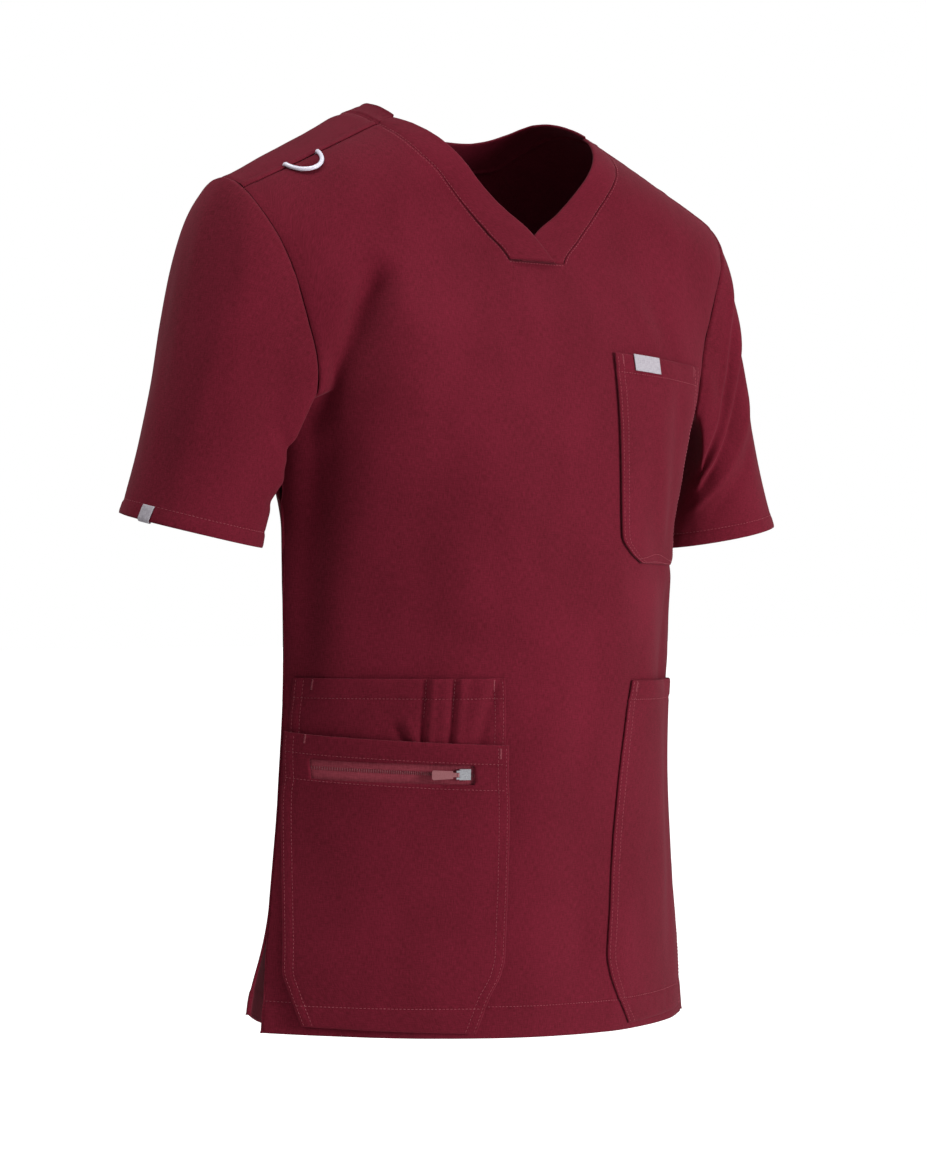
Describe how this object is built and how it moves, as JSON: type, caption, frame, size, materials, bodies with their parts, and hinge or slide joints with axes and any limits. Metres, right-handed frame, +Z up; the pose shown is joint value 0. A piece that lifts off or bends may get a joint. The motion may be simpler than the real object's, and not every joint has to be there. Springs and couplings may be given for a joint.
{
  "type": "medical scrub top",
  "caption": "Short-sleeved V-neck scrub top, filled out as if worn, with patch pockets, a zip pocket with a hinged pull, side vents and a ring in the shoulder seam.",
  "frame": {"origin": "between the high points of the shoulders, on the centre line, where the wearer holds the garment up", "axes": "+Z up along the body, the front faces -Y, +X towards the wearer's left"},
  "size_m": [0.646, 0.2539, 0.7595],
  "materials": {
    "scrub_cloth": "matt woven, faintly heathered",
    "zip_tape": "matt woven tape",
    "label_tape": "woven label, blank",
    "slider_metal": "satin silver",
    "pull_plastic": "satin",
    "ring_plastic": "smooth"
  },
  "bodies": {
    "top": {"front_panel": "scrub_cloth", "back_panel": "scrub_cloth", "sleeve_right": "scrub_cloth", "sleeve_left": "scrub_cloth", "neck_band_left": "scrub_cloth", "neck_band_right": "scrub_cloth", "neck_band_back": "scrub_cloth", "pen_pocket": "scrub_cloth", "zip_pocket": "scrub_cloth", "zip_tape": "zip_tape", "hip_pocket_left": "scrub_cloth", "chest_pocket": "scrub_cloth", "chest_label": "label_tape", "zip_slider": "slider_metal", "shoulder_ring": "ring_plastic", "sleeve_tag": "label_tape"},
    "pull": {"zip_pull": "pull_plastic"}
  },
  "joints": [
    {"name": "zip_pull_hinge", "type": "hinge", "parent": "top", "child": "pull", "pos_m": [-0.09755, -0.11167, -0.52362], "axis": [-0.0373, -0.0756, 0.9964], "range_deg": [0, 150]}
  ]
}
